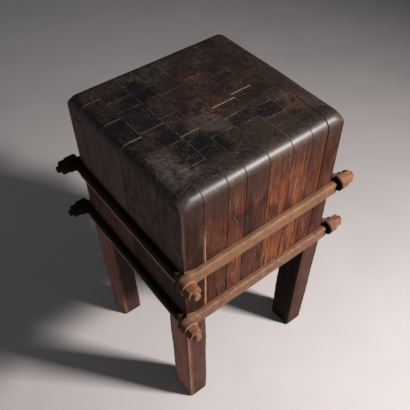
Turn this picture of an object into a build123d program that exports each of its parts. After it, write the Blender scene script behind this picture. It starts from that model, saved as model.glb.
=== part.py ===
"""Butcher block table: a thick end-grain chopping block on four legs, held by two bands of iron bars.

Millimetres, Z up, the floor at Z = 0, the block centred over the origin. The front face looks along
-Y and the left face along -X. Every piece is a solid of its own, written to parts/.
"""
from build123d import *
import os

# ---- overall sizes -------------------------------------------------------------------------------
block_depth = 424.0        # along Y; the width is what the rows of staves add up to
table_height = 814.0       # floor to working surface
block_bottom = 395.0       # floor to the underside of the block

# ---- block edges ---------------------------------------------------------------------------------
top_edge_radius = 23.0     # worn round-over along the working edges
corner_radius = 9.0        # eased upright corners
bottom_edge_chamfer = 3.0

# ---- staves --------------------------------------------------------------------------------------
open_joint = 1.4           # shrinkage gap between the last two rows
row_widths = (55.0, 60.5, 45.5, 60.5, 62.5, 56.0, 46.0, 54.0)    # along X, from the left
rest = None                # this stave takes up what is left of the depth
stave_depths = (           # along Y, from the back
    (62.0, 84.0, 76.0, rest),
    (rest, 42.0, 82.0, 66.0, 73.0, 71.0),
    (rest, 72.0, 56.0, 96.0),
    (133.5, rest, 41.5, 71.0, 41.0),
    (rest, 116.0, 45.0, 36.0, 28.0, 78.5),
    (rest, 78.0, 68.5, 45.0, 45.5, 41.0),
    (rest, 84.5, 36.0, 65.0, 57.5),
    (rest, 103.0),
)

# ---- legs ----------------------------------------------------------------------------------------
leg_width = 56.0           # along X, at the floor
leg_depth = 71.0           # along Y, at the floor
leg_swell = 2.0            # how much wider and deeper the leg is under the block
leg_inset = 4.5            # outer faces stand this far inside the block at the floor
leg_arris = 3.0
foot_chamfer = 4.0
tenon_width = 28.0
tenon_depth = 36.0
tenon_length = 60.0
tenon_clearance = 0.3      # all round and above the tenon

# ---- iron bars -----------------------------------------------------------------------------------
bar_height = 34.0
bar_thickness = 14.0
bar_arris = 2.5
upper_band = 196.5         # middle of the front bar above the underside of the block
lower_band = 34.5
upper_climb = 14.0         # how much higher the band runs along the back
lower_climb = 20.0
eye_diameter = 40.0
eye_length = 26.0
eye_lift = 9.0             # the eye and the stud sit above the middle of the bar
eye_offset = 4.0           # eye stands off the block face
eye_rim = 2.5
flare_length = 28.0        # the bar widens into its eye over this length
seat_gap = 1.5             # between a bar's shoulder and the eye it pulls on
corner_gap = 1.0           # between a bar's back end and its neighbour
stud_diameter = 18.0
bore_clearance = 1.0       # between the stud and the eye it passes through
stud_end = 10.0            # thread left proud of the nut
stud_chamfer = 2.0

# ---- nuts ----------------------------------------------------------------------------------------
nut_across_flats = 30.5
nut_thickness = 18.0
nut_chamfer = 2.0
thread_clearance = 0.1

block_width = sum(row_widths)
half_width = block_width / 2
half_depth = block_depth / 2
bore_diameter = stud_diameter + 2 * bore_clearance
hexagon_ratio = 3 ** 0.5 / 2               # half across flats over half across corners
stud_axis = bar_thickness / 2              # stud centre out from the block face
shoulder = eye_offset - seat_gap           # a bar runs this far past the corner
stud_length = seat_gap + eye_length + nut_thickness + stud_end
bands = (
    ("upper", block_bottom + upper_band, upper_climb),
    ("lower", block_bottom + lower_band, lower_climb),
)

os.makedirs("parts", exist_ok=True)


def keep(name, builder):
    """Name the piece and write it out."""
    builder.part.label = name
    export_step(builder.part, f"parts/{name}.step")


# ---- the four leg places -------------------------------------------------------------------------
leg_places = (
    ("front_left", -1, -1),
    ("front_right", 1, -1),
    ("back_left", -1, 1),
    ("back_right", 1, 1),
)
tenon_x = half_width - (leg_width + leg_swell) / 2
tenon_y = half_depth - (leg_depth + leg_swell) / 2

# ---- block blank: the whole block before it is divided into staves -------------------------------
block_height = table_height - block_bottom
with BuildPart() as blank:
    with BuildSketch(Plane.XY.offset(block_bottom)):
        Rectangle(block_width, block_depth)
    extrude(amount=block_height)
    fillet(blank.edges().filter_by(Axis.Z), corner_radius)
    fillet(blank.faces().sort_by(Axis.Z)[-1].edges(), top_edge_radius)
    chamfer(blank.faces().sort_by(Axis.Z)[0].edges(), bottom_edge_chamfer)
    with BuildSketch(Plane.XY.offset(block_bottom)):
        for _, across, along in leg_places:
            with Locations((across * tenon_x, along * tenon_y)):
                Rectangle(tenon_width + 2 * tenon_clearance, tenon_depth + 2 * tenon_clearance)
    extrude(amount=tenon_length + tenon_clearance, mode=Mode.SUBTRACT)


def stave(left, right, back, front):
    """One upright stave: its own cell of the blank."""
    with BuildPart() as piece:
        with BuildSketch(Plane.XY.offset(block_bottom)):
            with Locations(((left + right) / 2, (back + front) / 2)):
                Rectangle(right - left, back - front)
        extrude(amount=block_height)
        add(blank.part, mode=Mode.INTERSECT)
    return piece


# ---- staves: eight rows, lettered from the left, numbered from the back --------------------------
left = -half_width
for row, width in enumerate(row_widths):
    right = left + width
    after = open_joint / 2 if row == len(row_widths) - 2 else 0
    before = open_joint / 2 if row == len(row_widths) - 1 else 0
    depths = stave_depths[row]
    spare = block_depth - sum(depth for depth in depths if depth is not rest)
    back = half_depth
    for number, depth in enumerate(depths, start=1):
        front = back - (spare if depth is rest else depth)
        keep(f"stave_{'abcdefgh'[row]}{number}", stave(left + before, right - after, back, front))
        back = front
    left = right


def leg(across, along):
    """A slightly tapered leg with a stub tenon cut on its top."""
    with BuildPart() as piece:
        with BuildSketch(Plane.XY.offset(foot_chamfer)):
            with Locations((
                across * (half_width - leg_inset - leg_width / 2),
                along * (half_depth - leg_inset - leg_depth / 2),
            )):
                RectangleRounded(leg_width, leg_depth, leg_arris)
        with BuildSketch(Plane.XY.offset(block_bottom)):
            with Locations((across * tenon_x, along * tenon_y)):
                RectangleRounded(leg_width + leg_swell, leg_depth + leg_swell, leg_arris)
        loft()
        extrude(piece.faces().sort_by(Axis.Z)[0], amount=foot_chamfer, taper=45)
        with BuildSketch(Plane.XY.offset(block_bottom)):
            with Locations((across * tenon_x, along * tenon_y)):
                Rectangle(tenon_width, tenon_depth)
        extrude(amount=tenon_length)
    return piece


# ---- legs ----------------------------------------------------------------------------------------
for place, across, along in leg_places:
    keep(f"leg_{place}", leg(across, along))


def iron_bar(along, outward, half_run, reach, eye_height, stud_height):
    """A flat bar against one face: an eye beyond its first end, a threaded stud on its last.

    half_run is half the face it lies along, reach the distance of that face from the middle of the
    block; the heights are those of the bar's middle at its two ends.
    """
    face = Plane(origin=outward * reach, x_dir=along, z_dir=outward)
    start = -half_run + corner_gap
    end = half_run + shoulder
    eye_spot = (-half_run - stud_axis, eye_height + eye_lift)
    flare = ((eye_diameter / 2) ** 2 - (start - eye_spot[0]) ** 2) ** 0.5
    slope = (stud_height - eye_height) / (end - start)
    neck = start + flare_length
    neck_height = eye_height + slope * flare_length
    half = bar_height / 2
    tip = Plane(
        origin=outward * (reach + stud_axis) + along * end + Vector(0, 0, stud_height + eye_lift),
        x_dir=outward,
        z_dir=along,
    )
    with BuildPart() as piece:
        with BuildSketch(face):
            with BuildLine():
                Polyline(
                    (start, eye_spot[1] - flare),
                    (neck, neck_height - half),
                    (end, stud_height - half),
                    (end, stud_height + half),
                    (neck, neck_height + half),
                    (start, eye_spot[1] + flare),
                    close=True,
                )
            make_face()
        extrude(amount=bar_thickness)
        outer = piece.faces().filter_by(Plane(origin=(0, 0, 0), z_dir=outward)).sort_by(
            Axis(origin=(0, 0, 0), direction=outward))[-1]
        fillet(outer.edges(), bar_arris)
        with BuildSketch(face.offset(eye_offset)):
            with Locations(eye_spot):
                Circle(eye_diameter / 2)
        extrude(amount=eye_length)
        rim = piece.faces().sort_by(Axis(origin=(0, 0, 0), direction=outward))[-1]
        fillet(rim.edges(), eye_rim)
        with BuildSketch(face):
            with Locations(eye_spot):
                Circle(bore_diameter / 2)
        extrude(amount=eye_offset + eye_length, mode=Mode.SUBTRACT)
        with BuildSketch(tip.offset(-shoulder)):
            Circle(stud_diameter / 2)
        extrude(amount=shoulder + stud_length)
        point = piece.faces().sort_by(Axis(origin=(0, 0, 0), direction=along))[-1]
        chamfer(point.edges(), stud_chamfer)
    return piece


def nut(bolt):
    """A hexagon nut seated on the plane it is given, its outer corners turned off."""
    corner = nut_across_flats / 2 / hexagon_ratio
    with BuildPart() as piece:
        with BuildSketch(bolt):
            RegularPolygon(nut_across_flats / 2, 6, major_radius=False)
            Circle(stud_diameter / 2 + thread_clearance, mode=Mode.SUBTRACT)
        extrude(amount=nut_thickness)
        with BuildSketch(Plane(origin=bolt.origin, x_dir=bolt.x_dir, z_dir=-bolt.y_dir)):
            with BuildLine():
                Polyline(
                    (0, 0),
                    (corner, 0),
                    (corner, nut_thickness - nut_chamfer / 2),
                    (corner - nut_chamfer, nut_thickness),
                    (0, nut_thickness),
                    close=True,
                )
            make_face()
        revolve(axis=Axis(origin=bolt.origin, direction=bolt.z_dir), mode=Mode.INTERSECT)
    return piece


# ---- iron bars: they chase each other round the block, each stud through the next bar's eye ------
sides = (
    ("front", Vector(1, 0, 0), Vector(0, -1, 0), half_width, half_depth, 0, 0),
    ("right", Vector(0, 1, 0), Vector(1, 0, 0), half_depth, half_width, 0, 1),
    ("back", Vector(-1, 0, 0), Vector(0, 1, 0), half_width, half_depth, 1, 1),
    ("left", Vector(0, -1, 0), Vector(-1, 0, 0), half_depth, half_width, 1, 0),
)
seat = eye_offset + eye_length
for band, height, climb in bands:
    band_nuts = []
    for side, along, outward, half_run, reach, eye_share, stud_share in sides:
        eye_height = height + eye_share * climb
        stud_height = height + stud_share * climb
        keep(f"{band}_bar_{side}", iron_bar(along, outward, half_run, reach, eye_height, stud_height))
        seat_point = outward * (reach + stud_axis) + along * (half_run + seat)
        bolt = Plane(
            origin=seat_point + Vector(0, 0, stud_height + eye_lift),
            x_dir=Vector(0, 0, 1),
            z_dir=along,
        )
        band_nuts.append(nut(bolt).part)
    with BuildPart() as nuts:
        for one in band_nuts:
            add(one)
    keep(f"{band}_nuts", nuts)
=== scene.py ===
"""Looks of the butcher block table: worn end-grain block, four legs, two bands of forged iron bars.

Metres, Z up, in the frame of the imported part. The front face looks along -Y, the left one along -X.
"""
import math

import bpy
import numpy as np
from mathutils import Matrix, Vector


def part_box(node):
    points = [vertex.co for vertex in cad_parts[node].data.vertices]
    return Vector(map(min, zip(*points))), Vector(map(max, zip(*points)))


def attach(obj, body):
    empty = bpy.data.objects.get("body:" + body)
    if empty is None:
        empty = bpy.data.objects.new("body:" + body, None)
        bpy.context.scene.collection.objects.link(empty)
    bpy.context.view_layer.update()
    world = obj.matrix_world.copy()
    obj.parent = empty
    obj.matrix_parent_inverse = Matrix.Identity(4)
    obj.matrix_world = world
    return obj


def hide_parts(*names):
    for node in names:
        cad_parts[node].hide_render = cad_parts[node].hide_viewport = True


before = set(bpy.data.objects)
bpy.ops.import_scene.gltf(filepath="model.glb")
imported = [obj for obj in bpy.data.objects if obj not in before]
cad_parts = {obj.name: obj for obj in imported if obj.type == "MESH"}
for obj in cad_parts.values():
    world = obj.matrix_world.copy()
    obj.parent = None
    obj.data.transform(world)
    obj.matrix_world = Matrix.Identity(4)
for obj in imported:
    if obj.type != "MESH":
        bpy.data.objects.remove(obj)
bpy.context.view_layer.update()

# ==== Staves of the block =========================================================================
# Upright hardwood pieces with their end grain up, glued in eight rows. The working edges are worn
# round, the joints have opened a little, and each stave has worn to a height of its own.

MM = 0.001
stave_names = sorted(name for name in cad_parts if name.startswith("stave_"))
stave_boxes = {name: [np.array(corner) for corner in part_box(name)] for name in stave_names}
block_low = np.min([box[0] for box in stave_boxes.values()], axis=0)
block_high = np.max([box[1] for box in stave_boxes.values()], axis=0)
half_x, half_y = block_high[:2]
block_top, block_under = block_high[2], block_low[2]

back_round = 23 * MM            # radius of the worn working edge along the back
front_round = 31 * MM           # and along the front, where the butcher stood
front_round_from = -0.19        # how far forward it reaches its full radius
joint_depth = 0.55 * MM         # how far a stave's edges have crumbled at a joint, down the sides
top_joint_depth = 0.3 * MM      # and on the scraped top
joint_reach = 0.65 * MM
joint_slope = 0.12 * MM         # a slighter fall towards the joint,
joint_slope_reach = 5 * MM      # over this distance
dish_depth = 1.1 * MM           # hollow worn into the middle of the top
dish_middle = (0.03, -0.01)
dish_spread = 0.026             # twice the square of its width
wave_depth = 0.22 * MM          # gentle wave over the whole block
side_squareness = 4.5           # how much squarer the corners are low down than at the top
stave_step = 6.5 * MM           # spacing of points along a stave's outline
row_step = 15 * MM              # and down its outer faces
rim_stops = np.array([0.0, 0.35, 0.8, 1.6, 3.5]) * MM
top_shares = (0.1, 0.25, 0.4, 0.55, 0.7, 0.85)      # rings of points on the end grain, from its middle
outer_drops = np.array([1.6, 4, 7, 10, 13.5, 17, 21, 25, 29, 33, 38]) * MM    # down an outer stave
inner_drops = np.array([1.6, 4, 30]) * MM                                     # and an inner one
side_from = 50 * MM             # below this the rings of an outer stave are evenly spaced
side_clear = 8 * MM             # and stop this far above the underside
under_ease = 1.8 * MM           # eased lower arris
mortise_size = np.array([28.6, 36.6]) * MM
mortise_deep = 60.3 * MM
leg_top_size = np.array([58.0, 73.0]) * MM


def smooth(low, high, value):
    """Rises from 0 at low to 1 at high, with level ends."""
    t = np.clip((value - low) / (high - low), 0, 1)
    return t * t * (3 - 2 * t)


def stops(length, step):
    """Distances along one side of an outline: close together near both corners, even between."""
    inner = rim_stops[-1] * 2
    count = max(2, round((length - 2 * inner) / step) + 1)
    middle = np.linspace(inner, length - inner, count)
    return np.concatenate([rim_stops, middle, length - rim_stops[:0:-1]])


def outline(low, high, step):
    """Points round a rectangle, counter-clockwise seen from above, from its lowest corner."""
    wide, deep = stops(high[0] - low[0], step), stops(high[1] - low[1], step)
    return np.concatenate([
        np.stack([low[0] + wide, np.full(len(wide), low[1])], -1),
        np.stack([np.full(len(deep), high[0]), low[1] + deep], -1),
        np.stack([high[0] - wide, np.full(len(wide), high[1])], -1),
        np.stack([np.full(len(deep), low[0]), high[1] - deep], -1),
    ])


def shell(rings, wrap=False):
    """Vertices, quads and triangles of a skin over rings of points: each ring is joined to the next,
    and the ends are closed by a point in the middle, or joined to each other if wrap is set."""
    count, around = rings.shape[:2]
    index = np.arange(count * around).reshape(count, around)
    rows = np.vstack([index, index[:1]]) if wrap else index
    near, far = rows[:-1], rows[1:]
    quads = np.stack([near, far, np.roll(far, -1, 1), np.roll(near, -1, 1)], -1).reshape(-1, 4)
    points = rings.reshape(-1, 3)
    caps = np.zeros((0, 3), int)
    if not wrap:
        points = np.vstack([points, rings[0].mean(0), rings[-1].mean(0)])
        first, last = np.full(around, count * around), np.full(around, count * around + 1)
        caps = np.vstack([
            np.stack([first, index[0], np.roll(index[0], -1)], -1),
            np.stack([last, np.roll(index[-1], -1), index[-1]], -1),
        ])
    corners = np.vstack([quads[:, [0, 1, 2]], quads[:, [0, 2, 3]], caps])
    a, b, c = (points[corners[:, k]] - points.mean(0) for k in range(3))
    if np.einsum("ij,ij->i", a, np.cross(b, c)).sum() < 0:
        quads, caps = quads[:, ::-1], caps[:, ::-1]
    return points, quads, caps


def make_piece(name, shells, finish, nodes, marks=(), crease=None):
    """One object from one or more shells, with its named point values, riding on the body. Edges
    sharper than crease, in degrees, stay hard."""
    points, quads, caps, start = [], [], [], 0
    for some_points, some_quads, some_caps in shells:
        points.append(some_points)
        quads += (some_quads + start).tolist()
        caps += (some_caps + start).tolist()
        start += len(some_points)
    mesh = bpy.data.meshes.new(name)
    mesh.from_pydata(np.vstack(points).tolist(), [], quads + caps)
    for mark, values in dict(marks).items():
        flat = np.asarray(values, np.float32)
        kind, field = ("FLOAT", "value") if flat.ndim == 1 else ("FLOAT_VECTOR", "vector")
        mesh.attributes.new(mark, kind, "POINT").data.foreach_set(field, flat.ravel())
    mesh.shade_smooth()
    if crease is not None:
        mesh.set_sharp_from_angle(angle=math.radians(crease))
    mesh.materials.append(finish)
    piece = bpy.data.objects.new(name, mesh)
    bpy.context.scene.collection.objects.link(piece)
    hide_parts(*nodes)
    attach(piece, "root")


def worn(points, low, high, offset):
    """Where a point of the sharp-edged block goes on the worn one, and how far it is from a joint.

    Past the core of the block a point keeps its direction from the core, and its distance becomes
    that of a rounded shell: circular towards the top, squarer lower down. The shell is sunk by the
    crumbled joint, the stave's own wear and a gentle wave.
    """
    x, y, z = points[..., 0], points[..., 1], points[..., 2]
    gaps = [
        np.where(side_inner, distance, 1.0)
        for side_inner, distance in (
            (low[0] > -half_x + MM, x - low[0]),
            (high[0] < half_x - MM, high[0] - x),
            (low[1] > -half_y + MM, y - low[1]),
            (high[1] < half_y - MM, high[1] - y),
        )
    ]
    joint = np.clip(np.min(gaps, axis=0), 0, None)
    depth = np.min([half_x - np.abs(x), half_y - np.abs(y), block_top - z], axis=0).clip(0, None)
    radius = back_round + (front_round - back_round) * smooth(0.0, front_round_from, y)
    over = np.stack([
        np.clip(np.abs(x) - half_x + radius, 0, None),
        np.clip(np.abs(y) - half_y + radius, 0, None),
        np.clip(z - block_top + radius, 0, None),
    ], -1)
    rise = over[..., 2] / radius
    power = 2 + side_squareness * (1 - rise) ** 2
    plan = ((over[..., 0] / radius) ** power + (over[..., 1] / radius) ** power) ** (1 / power)
    length = np.hypot(plan, rise) * radius
    off_x, off_y = x - dish_middle[0], y - dish_middle[1]
    dish = dish_depth * np.exp(-(off_x ** 2 + off_y ** 2) / dish_spread) * rise
    wave = wave_depth * (1 + np.sin(31 * x + 17 * z + 9 * y) * np.sin(27 * y - 13 * z + 2))
    open_by = joint_depth + (top_joint_depth - joint_depth) * rise
    crumble = open_by * np.exp(-(joint / joint_reach) ** 2)
    crumble = crumble + joint_slope * np.exp(-joint / joint_slope_reach)
    sunk = np.maximum(depth, crumble + offset + dish + wave + 0.1 * depth)
    factor = np.where(length > 1e-9, (radius - sunk) / np.maximum(length, 1e-9), 1.0)
    moved = over * factor[..., None]
    core = np.stack([
        np.minimum(np.abs(x), half_x - radius),
        np.minimum(np.abs(y), half_y - radius),
        np.minimum(z, block_top - radius),
    ], -1)
    signs = np.stack([np.sign(x), np.sign(y), np.ones_like(z)], -1)
    return (core + moved) * signs, joint


def stave_shell(low, high, offset):
    """A stave: rings grow from the middle of its end grain to its rim, then run down its sides and
    in again below, where a corner stave has the mortise of its leg."""
    middle, half = (low[:2] + high[:2]) / 2, (high[:2] - low[:2]) / 2
    rim = outline(low, high, stave_step)
    outer = np.array([low[0] <= -half_x + MM, high[0] >= half_x - MM,
                      low[1] <= -half_y + MM, high[1] >= half_y - MM])

    def inset(distance):
        """The rim moved inwards by the same distance on every side."""
        return middle + (rim - middle) * (half - distance) / half

    inner = inset(2 * rim_stops[-1])
    flat = [middle + (inner - middle) * share for share in top_shares]
    flat += [inner] + [inset(distance) for distance in rim_stops[::-1]]
    rings = [np.column_stack([ring, np.full(len(rim), block_top)]) for ring in flat]
    if outer.any():
        even = np.arange(side_from, block_top - block_under - side_clear, row_step)
        drops = np.concatenate([outer_drops, even])
    else:
        drops = inner_drops
    heights = np.append(block_top - drops, block_under + under_ease)
    rings += [np.column_stack([rim, np.full(len(rim), z)]) for z in heights]
    rings.append(np.column_stack([inset(under_ease), np.full(len(rim), block_under)]))
    if outer[:2].any() and outer[2:].any():
        side = np.where(middle > 0, 1, -1)
        place = side * (np.array([half_x, half_y]) - leg_top_size / 2)
        hole = place + (rim - middle) / half * mortise_size / 2
        rings.append(np.column_stack([hole, np.full(len(rim), block_under)]))
        rings.append(np.column_stack([hole, np.full(len(rim), block_under + mortise_deep)]))
    else:
        inner = middle + (rim - middle) * 0.3
        rings.append(np.column_stack([inner, np.full(len(rim), block_under)]))
    points, quads, caps = shell(np.array(rings))
    moved, joint = worn(points, low, high, offset)
    return (moved, quads, caps), joint


class Value:
    """One output of a node, which can be added, multiplied and so on like a number."""

    def __init__(self, tree, socket):
        self.tree, self.socket = tree, socket

    def math(self, operation, *others, clamp=False):
        """A Math node on this value and the others."""
        node = self.tree.nodes.new("ShaderNodeMath")
        node.operation, node.use_clamp = operation, clamp
        for place, value in enumerate((self, *others)):
            if isinstance(value, Value):
                self.tree.links.new(value.socket, node.inputs[place])
            else:
                node.inputs[place].default_value = value
        return Value(self.tree, node.outputs[0])

    def reversed_math(self, operation, other):
        """A Math node with a plain number as its first input and this value as its second."""
        node = self.tree.nodes.new("ShaderNodeMath")
        node.operation = operation
        node.inputs[0].default_value = other
        self.tree.links.new(self.socket, node.inputs[1])
        return Value(self.tree, node.outputs[0])

    def __add__(self, other): return self.math("ADD", other)
    def __radd__(self, other): return self.math("ADD", other)
    def __sub__(self, other): return self.math("SUBTRACT", other)
    def __rsub__(self, other): return self.reversed_math("SUBTRACT", other)
    def __mul__(self, other): return self.math("MULTIPLY", other)
    def __rmul__(self, other): return self.math("MULTIPLY", other)
    def __truediv__(self, other): return self.math("DIVIDE", other)
    def __rtruediv__(self, other): return self.reversed_math("DIVIDE", other)
    def __pow__(self, other): return self.math("POWER", other)
    def __abs__(self): return self.math("ABSOLUTE")

    def clamp(self):
        """Held between 0 and 1."""
        return self.math("ADD", 0.0, clamp=True)

    def ramp(self, low, high):
        """0 at low, 1 at high, with level ends; falls if low is above high."""
        node = self.tree.nodes.new("ShaderNodeMapRange")
        node.interpolation_type = "SMOOTHSTEP"
        flip = low > high
        self.tree.links.new(self.socket, node.inputs["Value"])
        node.inputs["From Min"].default_value = min(low, high)
        node.inputs["From Max"].default_value = max(low, high)
        node.inputs["To Min"].default_value = 1.0 if flip else 0.0
        node.inputs["To Max"].default_value = 0.0 if flip else 1.0
        return Value(self.tree, node.outputs[0])


class Finish:
    """A material under construction: its node tree and the calls that add to it."""

    def __init__(self, name):
        self.material = bpy.data.materials.new(name)
        self.material.use_nodes = True
        self.tree = self.material.node_tree
        self.shader = self.tree.nodes["Principled BSDF"]
        self.place = self.add("ShaderNodeTexCoord", out="Object")

    def add(self, kind, settings=(), values=(), out=0):
        """Any node: its settings, its inputs as numbers or links, and which output is wanted."""
        node = self.tree.nodes.new(kind)
        for key, value in dict(settings).items():
            setattr(node, key, value)
        for key, value in dict(values).items():
            if isinstance(value, Value):
                self.tree.links.new(value.socket, node.inputs[key])
            else:
                node.inputs[key].default_value = value
        return Value(self.tree, node.outputs[out])

    def mark(self, name, out="Fac"):
        """A point value of the mesh."""
        return self.add("ShaderNodeAttribute", {"attribute_name": name}, out=out)

    def vector(self, operation, *values, out=0):
        """A Vector Math node."""
        return self.add("ShaderNodeVectorMath", {"operation": operation}, dict(enumerate(values)), out)

    def parts(self, vector):
        """The three numbers of a vector."""
        node = self.tree.nodes.new("ShaderNodeSeparateXYZ")
        self.tree.links.new(vector.socket, node.inputs[0])
        return [Value(self.tree, socket) for socket in node.outputs]

    def join(self, x, y, z):
        """A vector of three numbers."""
        return self.add("ShaderNodeCombineXYZ", (), {0: x, 1: y, 2: z})

    def noise(self, where, scale, detail=2.0, rough=0.5, out=0):
        """Cloudy noise of so many waves a metre."""
        return self.add("ShaderNodeTexNoise", (), {
            "Vector": where, "Scale": scale, "Detail": detail, "Roughness": rough}, out)

    def drawn_out(self, across, up, detail=4.0, rough=0.6, out=0):
        """Noise of so many waves a metre across the grain, and fewer up along it."""
        stretched = self.vector("MULTIPLY", self.place, (across, across, up))
        return self.noise(stretched, 1.0, detail, rough, out)

    def blend(self, factor, one, other, kind="MIX"):
        """A Mix node for colours: one where the factor is 0, other where it is 1."""
        node = self.tree.nodes.new("ShaderNodeMix")
        node.data_type, node.blend_type = "RGBA", kind
        for key, value in ((0, factor), (6, one), (7, other)):
            if isinstance(value, Value):
                self.tree.links.new(value.socket, node.inputs[key])
            else:
                node.inputs[key].default_value = value if key == 0 else (*value, 1.0)
        return Value(self.tree, node.outputs[2])

    def bump(self, height, distance, strength, under=None):
        """A Bump node, laid over another one if under is given."""
        values = {"Height": height, "Distance": distance, "Strength": strength}
        if under is not None:
            values["Normal"] = under
        return self.add("ShaderNodeBump", (), values)

    def feed(self, **inputs):
        """Numbers and links for the shader's own sockets, a space in their names written as _."""
        for key, value in inputs.items():
            socket = self.shader.inputs[key.replace("_", " ")]
            if isinstance(value, Value):
                self.tree.links.new(value.socket, socket)
            else:
                socket.default_value = value


# Colours of the block's wood, from its deepest to its palest, and of what lies on it.
black_crack = (0.0045, 0.003, 0.0026)
dark_pore = (0.016, 0.0065, 0.0048)
dark_stain = (0.018, 0.0085, 0.0068)
deep_brown = (0.019, 0.0066, 0.0046)
red_brown = (0.080, 0.0220, 0.0125)
orange_brown = (0.245, 0.078, 0.029)
flame_orange = (0.27, 0.098, 0.038)
glue_orange = (0.40, 0.175, 0.085)
greasy_brown = (0.034, 0.0180, 0.0135)
dull_film = (0.085, 0.042, 0.028)
rubbed_pale = (0.23, 0.15, 0.115)
side_greys = (0.068, 0.039, 0.034), (0.20, 0.128, 0.112)
# browns for the painted light thrown up from the floor between the left bars
painted_bounce_browns = (0.075, 0.032, 0.022), (0.24, 0.118, 0.082)
crown_browns = (0.0036, 0.0026, 0.0022), (0.026, 0.0155, 0.0108)
crown_olive_sheen = (0.0075, 0.0062, 0.0048), (0.026, 0.0215, 0.0165)
crown_reds = (0.0048, 0.0027, 0.0023), (0.040, 0.0160, 0.0100)
crown_greys = (0.0105, 0.0082, 0.0070), (0.088, 0.072, 0.060)
shoulder_greys_and_sheen = (0.020, 0.0145, 0.0125), (0.115, 0.085, 0.075)
crown_black = (0.0024, 0.0030, 0.0045)
crown_umber = (0.0075, 0.0045, 0.0036)
brick_red, bright_red = (0.072, 0.0235, 0.0130), (0.120, 0.036, 0.019)
tan_corner = (0.060, 0.032, 0.021)
ray_grey, ring_grey = (0.070, 0.054, 0.044), (0.058, 0.043, 0.034)
knot_pale, growth_pale, scratch_pale = (0.10, 0.075, 0.060), (0.15, 0.115, 0.092), (0.19, 0.150, 0.120)
joint_highlight_pale, dust_pale = (0.170, 0.134, 0.105), (0.56, 0.43, 0.31)
split_colours = (0.005, 0.0035, 0.003), (0.15, 0.085, 0.05)

crown_from, crown_full = block_top - 31 * MM, block_top - 11 * MM     # where side turns into top
tide_from, tide_full = block_top - 48 * MM, block_top + 8 * MM        # grease run down from the top
left_face_from, left_face_full = -half_x + 12 * MM, -half_x + 1 * MM  # the greyed left face
left_edge_from, left_edge_full = -half_x + 34 * MM, -half_x + 20 * MM # the joints' painted highlight reaches further down here
seam_x = -163.5 * MM                    # joint on the front face with glue showing
black_spots = (                         # blackened spots of the top: middle and half sizes, in mm
    (-92, 130, 50, 48), (-132, 52, 48, 68), (-179, 21, 28, 44), (-114, -48, 50, 44),
    (-108, -110, 48, 36), (-62, -106, 40, 28), (93, -104, 36, 24),
)
scratch_ways = ((0.5, 3.0), (-0.7, 8.0), (1.4, 15.0), (-0.15, 23.0))  # direction and noise layer
knot_x, knot_y = 191 * MM, -138 * MM    # a small knot near the right edge
growth_x, growth_y = 12 * MM, -36 * MM  # heart of the growth rings that show in the middle
split_lean, split_place = 0.867, -98.6 * MM     # short crack over the left edge: x = lean * y + place


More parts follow.
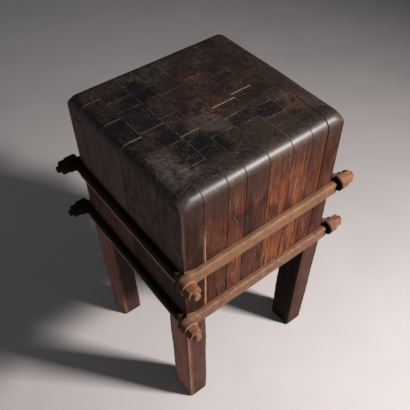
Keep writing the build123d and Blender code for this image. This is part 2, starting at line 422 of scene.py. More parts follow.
def block_finish():
    """Oiled and blackened end grain on top, reddish upright grain down the sides.

    Growth rings are sines of the distance from a stave's own upright heart line, rays are noise on
    the direction from it, and fibres are noise drawn out up the stave. Sides and crown are coloured
    apart and joined by height. Joints, a split and dust are laid over both.
    """
    f = Finish("block_wood")
    x, y, z = f.parts(f.place)
    tone, joint, dust = f.mark("tone"), f.mark("joint"), f.mark("dust")
    heart_x, heart_y, own = f.parts(f.mark("heart", "Vector"))
    above = z.ramp(crown_from, crown_full)

    # Grain and stains that both colours use.
    drift = f.vector("SUBTRACT", f.drawn_out(9.0, 2.2, 3.0, 0.5, out=1), (0.5, 0.5, 0.5))
    drift_x, drift_y, _ = f.parts(drift)
    across = x - heart_x + drift_x * 0.02 + (z - block_top) * 0.02
    along = y - heart_y + drift_y * 0.02
    reach = (across * across + along * along) ** 0.5
    rings = (reach * 1500.0 + own * 9.0).math("SINE") * 0.5 + 0.5
    wide_rings = (reach * 430.0 + own * 5.0).math("SINE") * 0.5 + 0.5
    bearing = along.math("ARCTAN2", across)
    rays = f.noise(f.join(bearing * 46.0, reach * 9.0, own * 7.0), 1.0).ramp(0.5, 0.7)
    fibre = f.drawn_out(520.0, 14.0)
    streak = f.noise(f.join(x * 95.0 + own * 3.0, y * 95.0 + own * 5.0, z * 3.2), 1.0, 3.0, 0.55)
    cloud = f.noise(f.join(x * 7.0 + own, y * 7.0 - own, z * 5.0), 1.0, 3.0, 0.6)
    spread = f.drawn_out(9.0, 5.0)
    pores = f.noise(f.place, 900.0, 3.0, 0.6)
    mottle = f.drawn_out(85.0, 40.0, 4.0, 0.65)
    blotch = f.drawn_out(17.0, 11.0, 4.0, 0.62)

    # The sides: brown to orange grain, stained, greasy above, greyed on the left face.
    grain = fibre * 0.75 + streak * 0.42 + rings * 0.05 + wide_rings * 0.05 + cloud * 0.35
    grain = grain + blotch * 0.6 + tone * 0.55 - 1.06
    side = f.blend(grain.ramp(0.0, 0.5), deep_brown, red_brown)
    side = f.blend(grain.ramp(0.36, 0.85), side, orange_brown)
    side = f.blend(fibre.ramp(0.53, 0.38) * 0.75, side, dark_pore)
    stain = f.drawn_out(24.0, 9.0, 5.0, 0.68).ramp(0.5, 0.64)
    side = f.blend(stain * 0.75, side, dark_stain)
    film = f.drawn_out(31.0, 13.0).ramp(0.48, 0.66)
    side = f.blend(film * 0.35, side, dull_film)
    flame = f.noise(f.join(x * 75.0, y * 75.0, z * 9.0 + 5.0), 1.0, 4.0, 0.6).ramp(0.58, 0.72) * tone
    side = f.blend(flame * 0.75, side, flame_orange)
    tide = (z + streak * 0.05 + blotch * 0.07).ramp(tide_from, tide_full)
    side = f.blend(tide * 0.65, side, greasy_brown)
    seam = (abs(x - seam_x) + (mottle - 0.5) * 0.006).ramp(4.0 * MM, 1.2 * MM)
    seam = seam * y.ramp(-0.19, -0.2) * z.ramp(0.72, 0.66) * blotch.ramp(0.3, 0.5)
    side = f.blend(seam * 0.85, side, glue_orange)
    left_face = x.ramp(left_face_from, left_face_full)
    greyed = left_face * (0.25 + 0.6 * z.ramp(0.585, 0.61))
    side = f.blend(greyed, side, f.blend((grain * 0.5 + mottle * 0.9 - 0.2).ramp(0.0, 0.6), *side_greys))
    # Between the bars the left face is made lighter: painted light thrown up from the floor.
    painted_bounce_light = left_face * z.ramp(0.605, 0.58) * z.ramp(0.44, 0.50)
    side = f.blend(painted_bounce_light * 0.65, side, f.blend(grain.ramp(0.0, 0.7), *painted_bounce_browns))
    rubs = f.noise(f.join(x * 210.0 + z * 60.0, y * 210.0, z * 30.0), 1.0, 3.0, 0.6).ramp(0.66, 0.74)
    side = f.blend(rubs * 0.35, side, rubbed_pale)

    def patch(at_x, at_y, wide, deep):
        """A soft-edged spot of the top, its outline broken up by the grain; sizes in mm."""
        u = (x + drift_x * 0.09 - at_x * MM) / (wide * MM)
        v = (y + drift_y * 0.09 - at_y * MM) / (deep * MM)
        return (u * u + v * v + (cloud - 0.5) * 1.4 + (mottle - 0.5) * 0.7).ramp(1.35, 0.4)

    # The crown: worn patches, each of its own colour, over dark brown end grain.
    end_grain = rings * 0.2 + rays * 0.2 + cloud * 0.5 + blotch * 0.5 + spread * 0.5 + mottle * 0.8
    crown = f.blend((end_grain + pores * 0.4 + tone * 0.3 - 1.2).ramp(0.0, 0.75), *crown_browns)
    # The olive-grey patch at the back is a painted sheen: the backdrop reflected in the oiled top.
    olive_sheen = f.blend(mottle.ramp(0.35, 0.65), *crown_olive_sheen)
    crown = f.blend(patch(-60, 165, 130, 45) * 0.8, crown, olive_sheen)
    red = f.blend((spread * 0.45 + mottle * 0.6 + pores * 0.25).ramp(0.48, 0.85), *crown_reds)
    crown = f.blend(patch(45, 20, 120, 85) * 0.85, crown, red)
    crown = f.blend(patch(27, 87, 45, 22) * mottle.ramp(0.4, 0.7) * 0.6, crown, brick_red)
    crown = f.blend(patch(1, -31, 38, 22) * mottle.ramp(0.42, 0.68) * 0.7, crown, bright_red)
    crown = f.blend(patch(148, -108, 50, 42) * mottle.ramp(0.3, 0.6) * 0.7, crown, tan_corner)
    crown = f.blend(patch(100, 92, 34, 26) * 0.6, crown, crown_umber)
    scrubbed = f.blend((mottle * 0.8 + rays * 0.15 + pores * 0.45).ramp(0.45, 0.85), *crown_greys)
    crown = f.blend(patch(-168, -122, 46, 58) * 0.75, crown, scrubbed)
    crown = f.blend(patch(-45, -62, 40, 44) * (rays * 0.65 + 0.2), crown, ray_grey)
    blackened = sum(patch(*spot) for spot in black_spots)
    blackened = (blackened * (1.15 - mottle * 0.5)).clamp()
    crown = f.blend(blackened * 0.92, crown, crown_black)
    crown = f.blend(rays * rings * (0.4 - blackened * 0.25), crown, ring_grey)

    # Pale lines on it: the knot, growth rings, cuts in four directions, and the shoulder, rubbed grey and
    # lightened by a painted broad highlight.
    knot = ((x - knot_x) ** 2.0 + (y - knot_y) ** 2.0) ** 0.5
    knot_rings = (knot * 1250.0 + drift_x * 14.0).math("SINE").ramp(0.1, 0.9)
    crown = f.blend(knot_rings * knot.ramp(26 * MM, 19 * MM) * 0.45, crown, knot_pale)
    growth = ((x - growth_x) ** 2.0 + (y - growth_y) ** 2.0) ** 0.5
    growth_rings = (growth * 1150.0 + drift_y * 24.0 + mottle * 4.0).math("SINE").ramp(0.2, 0.95)
    growth_rings = growth_rings * growth.ramp(74 * MM, 50 * MM) * growth.ramp(10 * MM, 22 * MM)
    growth_rings = growth_rings * x.ramp(18 * MM, -14 * MM) * mottle.ramp(0.35, 0.55)
    crown = f.blend(growth_rings * 0.42, crown, growth_pale)
    arcs = (reach * 760.0 + drift_y * 20.0 + own * 11.0).math("SINE").ramp(0.86, 0.99)
    arcs = arcs * blotch.ramp(0.48, 0.62)
    scratches = 0.0
    for way, layer in scratch_ways:
        c, s = math.cos(way), math.sin(way)
        lines = f.noise(f.join((x * c + y * s) * 26.0, (y * c - x * s) * 680.0, layer), 1.0, 2.0, 0.55)
        scratches = lines.ramp(0.62, 0.70) + scratches
    nicks = f.noise(f.place, 150.0).ramp(0.72, 0.78)
    worked = f.noise(f.place, 15.0, 3.0).ramp(0.34, 0.57)
    scratches = ((scratches * 0.75 + arcs * 0.18) * worked + nicks * 0.6).clamp()
    crown = f.blend(scratches * 0.5, crown, scratch_pale)
    shoulder = z.ramp(block_top - 3 * MM, block_top - 15 * MM)
    strokes = (fibre * 0.8 + mottle * 0.4).ramp(0.42, 0.8)
    crown = f.blend(shoulder * 0.7, crown, f.blend(strokes, *shoulder_greys_and_sheen))

    # Joints: dark, but with whitish lines on the flat of the top, a painted highlight of their lit edges.
    # Then the split and loose dust.
    colour = f.blend(above, side, crown)
    crack = (joint - (1.0 - above) * 0.55).ramp(0.7, 0.1)
    left_edge = x.ramp(left_edge_from, left_edge_full)
    joint_highlight_breaks = f.noise(f.place, 24.0, 4.0, 0.65).ramp(0.38, 0.62)
    painted_joint_highlight = (z + left_edge * 10 * MM).ramp(block_top - 6.5 * MM, block_top - 2.2 * MM)
    painted_joint_highlight = painted_joint_highlight * (joint_highlight_breaks * 0.85 + 0.15)
    colour = f.blend(crack * (1.0 - painted_joint_highlight) * 0.92, colour, black_crack)
    colour = f.blend(joint.ramp(0.55, 0.3) * painted_joint_highlight * 0.75, colour, joint_highlight_pale)
    split = abs(x - y * split_lean - split_place + drift_x * 0.006).ramp(2.6 * MM, 1.2 * MM)
    split = split * y.ramp(-112 * MM, -118 * MM) * x.ramp(-190 * MM, -200 * MM)
    split = split * z.ramp(block_top - 36 * MM, block_top - 28 * MM)
    split_colour = f.blend(z.ramp(block_top - 16 * MM, block_top - 9 * MM), *split_colours)
    colour = f.blend(split * 0.85, colour, split_colour)
    dry_dust = (dust * f.noise(f.place, 110.0, 3.0).ramp(0.2, 0.45)).clamp() * above
    colour = f.blend(dry_dust, colour, dust_pale)

    # Oiled sheen on top, dry wood down the sides, and the fine relief of both.
    below = 1.0 - above
    gloss = (0.44 + cloud * 0.14 + pores * 0.1 + scratches * 0.2) * above + (0.58 + fibre * 0.22) * below
    top_relief = pores * 0.3 + rings * 0.25 + rays * 0.35 + mottle * 0.5 - scratches * 0.6
    top_relief = top_relief + fibre * shoulder * 0.6
    relief = (fibre * 0.8 + streak * 0.4 + blotch * 0.4) * below + top_relief * above
    normal = f.bump(relief, 0.4 * MM, 0.75)
    normal = f.bump(spread + blotch * 0.4, 1.7 * MM, 0.5, normal)
    oil = 0.44 - scratches * 0.25 - spread * 0.3 - blackened * 0.12 + shoulder * 0.5
    f.feed(Base_Color=colour, Roughness=gloss, Normal=normal, Specular_IOR_Level=0.07,
           Coat_Weight=above * oil * (1.0 - crack), Coat_Roughness=0.43, Coat_IOR=1.5)
    return f.material


block_wood = block_finish()
stave_tones = {                 # 0 brown to 1 orange, for the staves that show most
    "stave_a4": 0.05, "stave_b6": 0.3, "stave_c4": 0.65, "stave_d5": 0.3,
    "stave_e6": 0.9, "stave_f6": 0.8, "stave_g5": 0.55, "stave_h2": 0.35,
}
dusty_joints = {                # how full of dust the joint behind a stave is, and how wide in mm
    "stave_e3": (1.0, 1.9), "stave_f3": (1.0, 1.7), "stave_a2": (0.4, 1.3), "stave_a3": (0.5, 1.4),
    "stave_a4": (0.6, 1.6), "stave_b4": (0.4, 1.2), "stave_c3": (0.5, 1.2), "stave_d3": (0.3, 1.0),
}
rng = np.random.default_rng(7)
for name in stave_names:
    low, high = stave_boxes[name]
    offset = rng.uniform(0.0, 0.55) * MM
    skin, joint = stave_shell(low, high, offset)
    size = high - low
    way = rng.uniform(0, 2 * math.pi)
    off = rng.uniform(0.3, 1.4) * max(size[0], size[1])
    middle = (low + high) / 2
    heart = np.array([
        middle[0] + off * math.cos(way), middle[1] + off * math.sin(way), rng.uniform(0, 9),
    ])
    count = len(skin[0])
    tone = stave_tones.get(name, rng.uniform(0.1, 0.9))
    strength, width = dusty_joints.get(name, (0.0, 1.0))
    filled = strength * np.exp(-((high[1] - skin[0][:, 1]) / (width * MM)) ** 2)
    marks = {"joint": joint / MM, "dust": filled, "tone": np.full(count, tone),
             "heart": np.tile(heart, (count, 1))}
    make_piece(name.replace("_", "-"), [skin], block_wood, [name], marks)

# ==== Legs ========================================================================================
# Square legs of plain hardwood, planed to a slight taper towards the floor, each with a stub tenon
# glued into the underside of the block. Feet and arrises are knocked and worn.

foot_size = np.array([56.0, 71.0]) * MM
foot_inset = 4.5 * MM                   # the foot's outer faces stand this far inside the block
foot_ease = 4.0 * MM
leg_arris = 3.2 * MM
foot_wear = 3 * MM                      # how much rounder the arrises are at the floor
foot_wear_up = 0.05                     # and up to this height
leg_wave = 0.25 * MM
leg_ring_from, leg_ring_step = 16 * MM, 17 * MM
leg_ring_clear = 6 * MM                 # rings stop this far under the shoulder
shoulder_gap = 0.2 * MM                 # between the shoulder and the underside of the block
tenon_size = np.array([28.0, 36.0]) * MM
leg_places = {"front_left": (-1, -1), "front_right": (1, -1), "back_left": (-1, 1), "back_right": (1, 1)}
leg_tones_and_painted_light = {                           # how light each leg is, and its left face: painted light on the left faces of both left legs, painted shade on that of the front right leg
    "front_left": (1.05, 5.8), "front_right": (0.95, 0.25),
    "back_left": (0.9, 5.2), "back_right": (0.9, 0.9),
}
leg_browns = (0.021, 0.0100, 0.0075), (0.088, 0.0430, 0.0325)
leg_rubbed = (0.11, 0.055, 0.04)


def leg_section(side, z):
    """Size and centre of a leg's section at a height: both change evenly from foot to block."""
    share = z / block_under
    size = foot_size + (leg_top_size - foot_size) * share
    return size, side * (np.array([half_x, half_y]) - foot_inset * (1 - share) - size / 2)


def leg_shell(side, top):
    """A leg: rings of a rectangle with eased corners climb from the foot to the shoulder, step in
    and climb the tenon. The eased corner is a rounded shell round the leg's core, its radius
    swelling and shrinking with sines of the height."""
    unit = outline(-leg_top_size / 2, leg_top_size / 2, stave_step) / leg_top_size
    shoulder = block_under - shoulder_gap
    even = np.arange(leg_ring_from, block_under - leg_ring_clear, leg_ring_step)
    rings = []
    for z in np.concatenate([[0.0, foot_ease], even, [shoulder]]):
        size, centre = leg_section(side, z)
        if z == 0.0:
            size = size - 2 * foot_ease
        rim = centre + unit * size
        arris = leg_arris * (1 + 0.7 * math.sin(51 * z + side[0]) * math.sin(83 * z + side[1]))
        arris = arris + foot_wear * (1 - smooth(0.0, foot_wear_up, z))
        away = rim - centre
        over = np.clip(np.abs(away) - size / 2 + arris, 0, None)
        length = np.linalg.norm(over, axis=-1, keepdims=True)
        core = np.minimum(np.abs(away), size / 2 - arris)
        wave = leg_wave * (1 + np.sin(60 * away[:, :1] + 23 * z) * np.sin(41 * away[:, 1:] - 19 * z))
        eased = core + over / np.maximum(length, 1e-9) * (arris - wave)
        rings.append(np.column_stack([centre + np.sign(away) * eased, np.full(len(rim), z)]))
    centre = side * (np.array([half_x, half_y]) - leg_top_size / 2)
    for z in (shoulder, top):
        rings.append(np.column_stack([centre + unit * tenon_size, np.full(len(unit), z)]))
    return shell(np.array(rings))


def leg_finish():
    """Dry brown upright grain, darker in the pores, rubbed paler along the arrises; the mark tone
    makes a whole face lighter or darker, which on the legs' left faces is painted light and shade."""
    f = Finish("leg_wood")
    fibre = f.drawn_out(380.0, 9.0)
    streak = f.drawn_out(70.0, 2.6, 3.0)
    cloud = f.noise(f.place, 8.0, 3.0, 0.6)
    mottle = f.drawn_out(55.0, 22.0, 4.0, 0.65)
    grain = fibre * 0.5 + streak * 0.35 + cloud * 0.4 + mottle * 0.6 - 0.45
    colour = f.blend(grain.ramp(0.1, 0.85), *leg_browns)
    colour = f.blend(f.mark("worn") * 0.35, colour, leg_rubbed)
    tone = f.mark("tone")
    colour = f.blend(1.0, colour, f.join(tone, tone, tone), "MULTIPLY")
    f.feed(Base_Color=colour, Roughness=0.6 + fibre * 0.2, Specular_IOR_Level=0.05,
           Normal=f.bump(fibre * 0.8 + streak * 0.6, 0.4 * MM, 0.7))
    return f.material


leg_wood = leg_finish()
for place, side in leg_places.items():
    skin = leg_shell(np.array(side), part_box(f"leg_{place}")[1].z)
    points = skin[0]
    size, centre = leg_section(np.array(side), points[:, 2:])
    off = np.abs(points[:, :2] - centre)
    edge = np.sort(size / 2 - off, axis=1)[:, 1]
    leftward = (centre[:, 0] - points[:, 0]) / size[:, 0]
    left_face = smooth(-0.3, 0.3, leftward - off[:, 1] / size[:, 1])
    plain, left_face_painted_light = leg_tones_and_painted_light[place]
    marks = {"worn": 1 - smooth(1.5 * MM, 5 * MM, edge), "tone": plain + (left_face_painted_light - plain) * left_face}
    make_piece(f"leg-{place.replace('_', '-')}", [skin], leg_wood, [f"leg_{place}"], marks)

# ==== Iron bars ===================================================================================
# Flat bars forged out at one end into an eye and at the other into a threaded stud. They chase each
# other round the block, each stud through the next bar's eye, in two bands. Brown patina.

bar_height = 34 * MM
bar_thick = 14 * MM
bar_arris = 2.6 * MM                       # lower outer edge
bar_arris_above = 5.5 * MM                 # upper outer edge, rubbed rounder
bar_arris_inside = 1.0 * MM                # both edges against the block
bar_past = 2.5 * MM                        # the bar runs this far past the block's corner
bar_rings = 72
bar_dents = 0.28 * MM
bar_wobble, bar_shrink = 0.35 * MM, 0.2 * MM    # unevenness of its upper and lower edges
bar_clear = 0.2 * MM                       # always this far off the block
neck_half = 18.3 * MM                      # half height of the bar where it leaves its eye
neck_reach = 15.2 * MM                     # it starts on a circle of this radius inside the eye
neck_least = 8 * MM
flare_run = 28 * MM
eye_radius = 20 * MM
bore_radius = 10 * MM
eye_out = np.array([4.0, 30.0]) * MM       # where the eye starts and ends, out from the block face
eye_lift = 9 * MM
eye_past = 7 * MM
eye_rim = 2.5 * MM
eye_lip = 1.2 * MM
eye_belly = np.array([25, 22, 20, 18.5, 17, 16, 15, 14, 12]) * MM    # rings between rim and back
eye_uneven = 0.35 * MM
web_out, web_fade, web_swell = 14 * MM, 6 * MM, 4.5 * MM    # the web from bar to eye
eye_back_out, eye_back_along = 6 * MM, 8 * MM    # the back, in the bar's shadow and painted dark: out from the block, and towards the bar
stud_radius = 9 * MM
stud_end = 58 * MM
stud_chamfer = 2 * MM
root_runs = np.array([-2.0, 0.0, 1.0, 2.0, 3.5]) * MM       # the stud grows out of the bar's end
root_swell = np.array([3.0, 2.0, 1.1, 0.5, 0.0]) * MM       # by a fillet this much wider
thread_from = 42 * MM
thread_pitch = 2.5 * MM
thread_deep = 1.2 * MM


def bar_outline():
    """Section of the flat bar as (out, up) about its middle, five points to each eased corner, with
    how rubbed each point is and whether it lies along the lower edge that takes a painted highlight."""
    tall, thick = bar_height / 2, bar_thick / 2
    quarter = np.radians(np.arange(0, 91, 22.5))
    corners = []
    for turn, (sx, sy) in enumerate(((1, 1), (-1, 1), (-1, -1), (1, -1))):
        arris = (bar_arris_above if sy > 0 else bar_arris) if sx > 0 else bar_arris_inside
        angle = quarter + turn * math.pi / 2
        corners.append(np.stack([
            sx * (thick - arris) + arris * np.cos(angle), sy * (tall - arris) + arris * np.sin(angle),
        ], -1))
    runs, rubbed = [], []
    # The lower outer arris is rubbed brightest: wear, and also a painted highlight of light thrown up from
    # the floor.
    for turn, (between, rub) in enumerate(((3, 0.12), (11, 0.3), (3, 0.3), (11, 1.0))):
        this, following = corners[turn], corners[(turn + 1) % 4]
        share = np.linspace(0, 1, between + 2)[1:-1, None]
        runs += [this, this[-1] + (following[0] - this[-1]) * share]
        rubbed += [np.array([0.35, 0.85, 1, 0.85, 0.35]) * rub, np.zeros(between)]
    low_edge = np.zeros(sum(len(run) for run in runs))
    low_edge[29:40] = np.append(np.ones(9), [0.8, 0.3])     # under the bar and round its lower arris
    return np.concatenate(runs), np.concatenate(rubbed), low_edge


def flat_bar(half_run, eye_mid, stud_mid, seed):
    """The flat bar as (along, out, up), with the block face's middle at zero: its section carried
    along the run, taller towards the eye, drawn in at the stud, dented by products of sines."""
    section, rubbed, low_edge = bar_outline()
    tall, thick = bar_height / 2, bar_thick / 2
    eye_at, eye_up = -half_run - eye_past, eye_mid + eye_lift
    end = half_run + bar_past
    slope = (stud_mid - eye_mid) / (end + half_run)
    share = np.concatenate([np.linspace(0, 1, bar_rings)[:-1], [1 - 0.0035, 1 - 0.0008, 1.0]])
    squeeze = np.concatenate([np.ones(bar_rings), [0.965, 0.9]])[:, None]
    start_up = section[:, 1] / tall * neck_half
    start = eye_at + np.sqrt(np.clip(neck_reach ** 2 - start_up ** 2, neck_least ** 2, None))
    along = start[None, :] + (end - start[None, :]) * share[:, None]
    bend = smooth(0.0, 1.0, (along + half_run) / flare_run)
    level = eye_mid + slope * (along + half_run)
    middle = eye_up + (level - eye_up) * bend
    half_up = neck_half + (tall - neck_half) * bend
    up = middle + section[None, :, 1] / tall * half_up * squeeze
    out = thick + section[None, :, 0] * np.minimum(1, squeeze + 0.02)
    dents = np.sin(91 * along + seed) * np.sin(173 * up + 2 * seed)
    dents = dents + 0.6 * np.sin(57 * along - 211 * up + seed)
    face = smooth(0.0, 1.0, section[:, 0] / thick)[None, :]
    out = out - bar_dents * (1 + dents) * face
    edge = np.sign(section[None, :, 1])
    up = up + bar_wobble * np.sin(43 * along + 3 * seed) * edge - bar_shrink * edge
    skin = shell(np.stack([along, np.clip(out, bar_clear, None), up], -1))
    per_ring = len(share)
    marks = {
        "worn": np.append(np.tile(rubbed, per_ring), [0, 0]),
        "low_edge": np.append(np.tile(low_edge, per_ring), [0, 0]),
        "stud_end": smooth(end - 16 * MM, end - 8 * MM, skin[0][:, 0]),
    }
    return skin, marks


def bar_eye(half_run, eye_mid, seed):
    """The eye: a closed profile turned about its bore, swelling into a web where the bar leaves it,
    its radius uneven by a sine of the angle. It is marked on the back, which lies in the shadow of
    the bar whose stud runs through it, for painted shade."""
    eye_at, eye_up = -half_run - eye_past, eye_mid + eye_lift
    turn = np.radians(np.arange(0, 360, 7.5))
    back, front = eye_out
    quarter = np.radians(np.linspace(0, 90, 5))
    radii = np.concatenate([
        bore_radius + eye_lip * (1 - np.cos(quarter)),
        eye_radius - eye_rim + eye_rim * np.sin(quarter),
        np.full(len(eye_belly), eye_radius),
        eye_radius - eye_lip * (1 - np.cos(quarter)),
        [bore_radius + eye_lip, bore_radius],
    ])
    outs = np.concatenate([
        front - eye_lip + eye_lip * np.sin(quarter),
        front - eye_rim + eye_rim * np.cos(quarter),
        eye_belly,
        back + eye_lip - eye_lip * np.sin(quarter),
        [back, back + eye_lip],
    ])
    rubbed = np.concatenate([
        [0, 0.2, 0.5, 0.8, 0.7], [0.6, 0.9, 1, 0.8, 0.4], np.zeros(len(eye_belly)),
        [0, 0.3, 0.6, 0.5, 0.3], [0, 0],
    ])
    fade = np.clip(1 - (outs - web_out) / web_fade, 0, 1) ** 2
    web = smooth(0.45, 0.8, np.cos(turn))[None, :] * np.where(outs < web_out, 1, fade)[:, None]
    web = web * (radii >= eye_radius - 0.1 * MM)[:, None]
    uneven = eye_uneven * np.sin(3 * turn + seed)[None, :] * (radii > eye_radius - eye_rim)[:, None]
    radius = radii[:, None] + web * web_swell - np.abs(uneven)
    skin = shell(np.stack([
        eye_at + radius * np.cos(turn), np.broadcast_to(outs[:, None], radius.shape),
        eye_up + radius * np.sin(turn),
    ], -1), wrap=True)
    points = skin[0]
    behind = (points[:, 1] < eye_back_out) & (points[:, 0] < eye_at + eye_back_along)
    return skin, {"worn": np.repeat(rubbed, len(turn)), "behind": behind.astype(float)}


def bar_stud(half_run, stud_mid):
    """The stud: a circle carried along its axis out of the bar's end, its radius following the
    thread's triangle wave, which turns once about the axis in each pitch."""
    turn = np.radians(np.arange(0, 360, 10))
    end, tip = half_run + bar_past, half_run + stud_end
    thread = half_run + thread_from
    shank = np.linspace(end + 6 * MM, thread - 1 * MM, 4)
    threads = np.arange(thread, tip - 0.01 * MM, thread_pitch / 8)
    runs = np.concatenate([end + root_runs, shank, threads, [tip]])
    body = np.full(len(runs), stud_radius)
    body[:len(root_swell)] += root_swell
    taper = np.clip((runs - (tip - stud_chamfer)) / stud_chamfer, 0, 1) * stud_chamfer
    cut = smooth(thread - 0.5 * MM, thread + 1 * MM, runs)
    phase = (runs[:, None] / thread_pitch - turn[None, :] / (2 * math.pi)) % 1.0
    crest = np.clip(1.25 - 2.5 * np.abs(phase - 0.5), 0, 1)
    radius = body[:, None] - thread_deep * (1 - crest) * cut[:, None]
    radius = np.minimum(radius, (body - taper)[:, None])
    skin = shell(np.stack([
        np.broadcast_to(runs[:, None], radius.shape), bar_thick / 2 + radius * np.cos(turn),
        stud_mid + eye_lift + radius * np.sin(turn),
    ], -1))
    # The stud's root is marked for painted shade, in the shadow of the eye it runs into.
    return skin, {"worn": np.append((crest * cut[:, None] * 0.8).ravel(), [0, 0.6]),
                  "root": 1 - smooth(end + 3 * MM, end + 7 * MM, skin[0][:, 0])}


rust_red, rubbed_iron = (0.15, 0.048, 0.016), (0.30, 0.175, 0.105)
# Near-black painted shade for iron turned from the lamp, and a light painted highlight for lower edges lit
# from the floor.
painted_shade_black, lower_edge_highlight_grey = (0.0050, 0.0018, 0.0006), (0.42, 0.28, 0.205)
pink_from, pink_full = 0.56, 0.46       # heights between which the iron turns redder


def iron_finish(name, shade, tan, pink, rust_amount):
    """Brown patina over forged scale: mottled, pitted, rubbed brighter on the arrises, and redder
    low down. One mark paints near-black shade on iron turned from the lamp, another a light
    painted highlight along lower edges lit from the floor."""
    f = Finish(name)
    cloud = f.noise(f.place, 14.0, 4.0, 0.6)
    mottle = f.noise(f.place, 75.0, 4.0, 0.65)
    speck = f.noise(f.place, 420.0, 3.0, 0.6)
    low_down = f.parts(f.place)[2].ramp(pink_from, pink_full)
    colour = f.blend((cloud * 0.7 + mottle * 0.7 - 0.32).ramp(0.0, 0.7), shade, tan)
    pinkish = (low_down * 0.7 + cloud.ramp(0.5, 0.7) * 0.3).clamp()
    colour = f.blend(pinkish, colour, f.blend(mottle.ramp(0.3, 0.7), shade, pink))
    rust = mottle.ramp(0.55, 0.7) * speck.ramp(0.4, 0.6) * rust_amount
    colour = f.blend(rust, colour, rust_red)
    painted_shade = f.mark("painted_shade")
    rubbed = (f.mark("worn") * (mottle * 0.9 + 0.2)).clamp()
    colour = f.blend(rubbed * 0.6, colour, rubbed_iron)
    # Painted shade, near black, then a painted highlight along the lower edges.
    colour = f.blend(painted_shade * 0.97, colour, painted_shade_black)
    colour = f.blend(f.mark("lower_edge_highlight") * (0.4 + mottle * 0.7), colour, lower_edge_highlight_grey)
    normal = f.bump(mottle, 0.9 * MM, 0.6, f.bump(speck, 0.25 * MM, 0.6))
    f.feed(Base_Color=colour, Metallic=0.2 - painted_shade * 0.2, Specular_IOR_Level=0.16, Normal=normal,
           Roughness=0.66 - rubbed * 0.14 + speck * 0.12 + painted_shade * 0.2)
    return f.material


bar_iron = iron_finish("bar_iron", shade=(0.085, 0.042, 0.023), tan=(0.205, 0.105, 0.053),
                       pink=(0.185, 0.090, 0.062), rust_amount=0.3)
bar_sides = (           # along, outward, half the face and its distance, which end is at which level
    ("front", (1, 0), (0, -1), half_x, half_y, 0, 0),
    ("right", (0, 1), (1, 0), half_y, half_x, 0, 1),
    ("back", (-1, 0), (0, 1), half_x, half_y, 1, 1),
    ("left", (0, -1), (-1, 0), half_y, half_x, 1, 0),
)
bar_painted_shade = {"front": 0.0, "right": 0.1, "back": 0.5, "left": 1.0}     # painted shade on each bar: near black on the left one, darker on the back one, turned from the lamp
stud_painted_shade = {"front": 0.0, "right": 0.0, "back": 0.8, "left": 0.0}    # and painted shade on its stud
band_middles = {}       # heights of each band along the front and along the back
for band in ("upper", "lower"):
    band_middles[band] = [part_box(f"{band}_bar_{side}")[0].z + bar_height / 2 for side in ("front", "back")]


def set_out(skin, along, outward, reach):
    """A shell from (along, out, up) against one face of the block to the part's frame, its faces
    turned if that mirrors it."""
    points, quads, caps = skin
    spot = np.outer(points[:, 0], along) + np.outer(points[:, 1] + reach, outward)
    placed = np.column_stack([spot, points[:, 2]])
    if along[0] * outward[1] - along[1] * outward[0] < 0:
        return placed, quads[:, ::-1], caps[:, ::-1]
    return placed, quads, caps


for band_number, (band, levels) in enumerate(band_middles.items()):
    for side_number, (side, along, outward, half_run, reach, eye_end, stud_side) in enumerate(bar_sides):
        eye_mid, stud_mid = levels[eye_end], levels[stud_side]
        seed = 1.7 * side_number + 5.3 * band_number
        flat, on_flat = flat_bar(half_run, eye_mid, stud_mid, seed)
        eye, on_eye = bar_eye(half_run, eye_mid, seed)
        stud, on_stud = bar_stud(half_run, stud_mid)
        # Painted shade on the flat bar, kept off its lower edge and stud end; eye backs and stud roots are
        # painted dark for the shadow where they meet.
        flat_painted_shade = bar_painted_shade[side] * (1 - on_flat["low_edge"]) * (1 - on_flat["stud_end"])
        marks = {
            "worn": np.concatenate([on_flat["worn"], on_eye["worn"], on_stud["worn"]]),
            "painted_shade": np.concatenate([
                np.maximum(flat_painted_shade, stud_painted_shade[side] * on_flat["stud_end"]),
                np.maximum(bar_painted_shade[side], on_eye["behind"]),
                np.maximum(stud_painted_shade[side], on_stud["root"]),
            ]),
            "lower_edge_highlight": np.concatenate([
                bar_painted_shade[side] * on_flat["low_edge"], np.zeros(len(eye[0]) + len(stud[0])),
            ]),
        }
        placed = [set_out(skin, along, outward, reach) for skin in (flat, eye, stud)]
        make_piece(f"{band}-bar-{side}", placed, bar_iron, [f"{band}_bar_{side}"], marks,
                   crease=38)

# ==== Nuts ========================================================================================
# Eight hexagon nuts, chamfered on both faces, that draw the bars up. Forged iron, rustier than the
# bars. Each stands at whatever angle the wrench left it.

nut_flats = 30.5 * MM
nut_thick = 18 * MM
nut_seat = 30 * MM              # out from the block's corner along the stud
nut_bore = 9.15 * MM
bore_lip = 0.9 * MM
chamfer_out = 0.7 * MM          # the end face stops this far inside the flats
cone_from, cone_slope = 0.5 * MM, 1.6
nut_turns = {"upper": (10, 37, 21, 20), "lower": (33, 4, 48, 27)}     # degrees, in the order of bar_sides
# Painted shade on each nut: near black on the one at the back left corner, turned from the lamp.
nut_painted_shade = (0.0, 0.0, 0.9, 0.0)


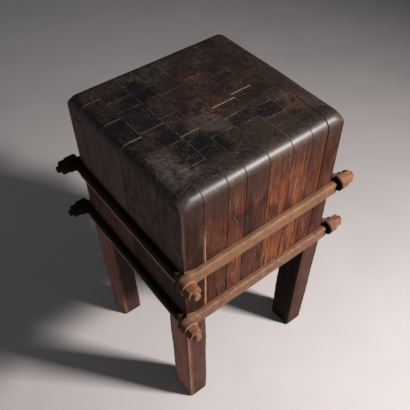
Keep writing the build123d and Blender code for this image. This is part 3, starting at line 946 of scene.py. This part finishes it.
def nut_shell(turned):
    """A nut as (along, sideways, up) from its seat: a closed profile turned about the bore, each
    radius held to the hexagon and to the chamfer cones. The hexagon's corners are slightly round:
    the radius is that of a high power mean of the six flats."""
    turn = np.radians(np.arange(0, 360, 5))
    flats = np.cos(turn[:, None] - np.radians(np.arange(0, 360, 60)))
    hexagon = nut_flats / 2 / (np.clip(flats, 0, None) ** 60).sum(1) ** (1 / 60)
    drop = np.array([0.0, 0.15, 0.5, 0.9, 1.4, 2.0, 3.0]) * MM
    half = np.append(bore_lip, drop)
    along = np.concatenate([half, [nut_thick / 2], nut_thick - half[::-1]])
    face = np.minimum(along, nut_thick - along)
    cone = nut_flats / 2 - cone_from + face * cone_slope
    cone[0] = cone[-1] = nut_bore
    radius = np.minimum(hexagon[None, :], cone[:, None])
    radius[1] = radius[-2] = nut_bore + bore_lip
    radius[2] = radius[-3] = nut_flats / 2 - chamfer_out
    along[[1, 2]], along[[-2, -3]] = 0.0, nut_thick
    spots = turn + turned
    rings = np.stack([
        np.broadcast_to(along[:, None], radius.shape),
        radius * np.cos(spots), radius * np.sin(spots),
    ], -1)
    corner = smooth(nut_flats / 2 * 1.06, nut_flats / 2 * 1.15, hexagon)
    # Lighter chamfers: wear, and also painted highlights along the nut's arrises.
    chamfer = np.where((face > 0.1 * MM) & (face < 1.6 * MM), 0.35, 0.05)
    rub = np.clip(corner[None, :] * 0.35 + chamfer[:, None], 0, 1)
    rub[0] = rub[-1] = 0
    return shell(rings, wrap=True), rub.ravel()


nut_iron = iron_finish("nut_iron", shade=(0.070, 0.030, 0.016), tan=(0.26, 0.100, 0.041),
                       pink=(0.225, 0.085, 0.045), rust_amount=0.9)
for band, levels in band_middles.items():
    placed, rubs, painted_shades = [], [], []
    for bar_side, turned, painted_shade in zip(bar_sides, nut_turns[band], nut_painted_shade):
        _, along, outward, half_run, reach, _, stud_side = bar_side
        (points, quads, caps), rub = nut_shell(math.radians(turned))
        moved = points + np.array([half_run + nut_seat, bar_thick / 2, levels[stud_side] + eye_lift])
        placed.append(set_out((moved, quads, caps), along, outward, reach))
        rubs.append(rub)
        painted_shades.append(np.full(len(points), painted_shade))
    marks = {"worn": np.concatenate(rubs), "painted_shade": np.concatenate(painted_shades)}
    make_piece(f"{band}-nuts", placed, nut_iron, [f"{band}_nuts"], marks, crease=30)

# ==== Floor, light and camera =====================================================================
# A plain pale studio floor that runs up into a plain backdrop, one soft lamp from the front right
# and a weak fill all round.


warm_greys = (0.39, 0.365, 0.358), (0.43, 0.403, 0.396)
far_blue = (0.25, 0.285, 0.37)
view_turn = math.radians(37.67)         # the floor is turned to face the camera
floor_near, floor_half, sweep_from, sweep_round, sweep_up = -4.5, 5.0, 2.6, 0.9, 3.5


def floor_finish():
    """Warm grey matt floor, very faintly mottled, a little bluer far from the camera."""
    f = Finish("studio_floor")
    colour = f.blend(f.noise(f.place, 3.0, 4.0, 0.6).ramp(0.2, 0.8), *warm_greys)
    x, y, _ = f.parts(f.place)
    colour = f.blend((y * 0.79 + x * -0.61).ramp(0.9, 2.6) * 0.55, colour, far_blue)
    f.feed(Base_Color=colour, Roughness=0.75,
           Normal=f.bump(f.noise(f.place, 160.0), 0.2 * MM, 0.3))
    return f.material


def backdrop_sheet():
    """Points of the sheet, in rows across: flat floor, a quarter circle up, then an upright wall."""
    bend = np.radians(np.arange(6, 91, 6))
    along = np.concatenate([
        np.linspace(floor_near, sweep_from, 20), sweep_from + sweep_round * np.sin(bend),
        np.full(8, sweep_from + sweep_round),
    ])
    up = np.concatenate([
        np.zeros(20), sweep_round * (1 - np.cos(bend)), np.linspace(sweep_round + 0.2, sweep_up, 8),
    ])
    wide, along = np.meshgrid(np.linspace(-floor_half, floor_half, 21), along, indexing="ij")
    return np.stack([
        wide * math.cos(view_turn) + along * math.sin(view_turn),
        along * math.cos(view_turn) - wide * math.sin(view_turn), np.broadcast_to(up, wide.shape),
    ], -1)


sheet = backdrop_sheet()
index = np.arange(sheet[..., 0].size).reshape(sheet.shape[:2])
quads = np.stack([index[:-1, :-1], index[1:, :-1], index[1:, 1:], index[:-1, 1:]], -1).reshape(-1, 4)
floor_mesh = bpy.data.meshes.new("studio-floor")
floor_mesh.from_pydata(sheet.reshape(-1, 3).tolist(), [], quads.tolist())
floor_mesh.shade_smooth()
floor_mesh.materials.append(floor_finish())
floor = bpy.data.objects.new("studio-floor", floor_mesh)
bpy.context.scene.collection.objects.link(floor)


def lamp(name, where, aim, size, power, colour):
    """A square soft lamp pointed at a spot; size in metres, power in watts."""
    light = bpy.data.lights.new(name, "AREA")
    light.size, light.energy, light.color = size, power, colour
    light.spread = math.radians(95)
    thing = bpy.data.objects.new(name, light)
    thing.location = where
    thing.rotation_euler = (Vector(aim) - Vector(where)).to_track_quat("-Z", "Y").to_euler()
    bpy.context.scene.collection.objects.link(thing)


lamp("key-lamp", where=(1.35, -2.0, 2.05), aim=(-0.15, -0.35, 0.1), size=0.4, power=54,
     colour=(1.0, 0.955, 0.935))
bpy.context.scene.view_settings.view_transform = "Standard"
world = bpy.data.worlds.new("studio")
bpy.context.scene.world = world
world.use_nodes = True
fill = world.node_tree.nodes["Background"].inputs
fill["Color"].default_value = (0.90, 0.93, 1.0, 1.0)
fill["Strength"].default_value = 0.155

# The camera looks down on the near left corner from eye height.
camera_data = bpy.data.cameras.new("camera")
camera_data.sensor_width = 36
camera_data.lens = 47.906
camera = bpy.data.objects.new("camera", camera_data)
yaw, pitch, roll = (math.radians(angle) for angle in (-37.67, 47.45, -0.55))
back = Vector((math.sin(yaw) * math.cos(pitch), -math.cos(yaw) * math.cos(pitch), math.sin(pitch)))
level = Vector((math.cos(yaw), math.sin(yaw), 0))
right = level * math.cos(roll) + back.cross(level) * math.sin(roll)
facing = Matrix((right, back.cross(right), back)).transposed()
camera.matrix_world = Matrix.Translation((-0.5779, -0.7499, 1.5217)) @ facing.to_4x4()
bpy.context.scene.collection.objects.link(camera)
bpy.context.scene.camera = camera
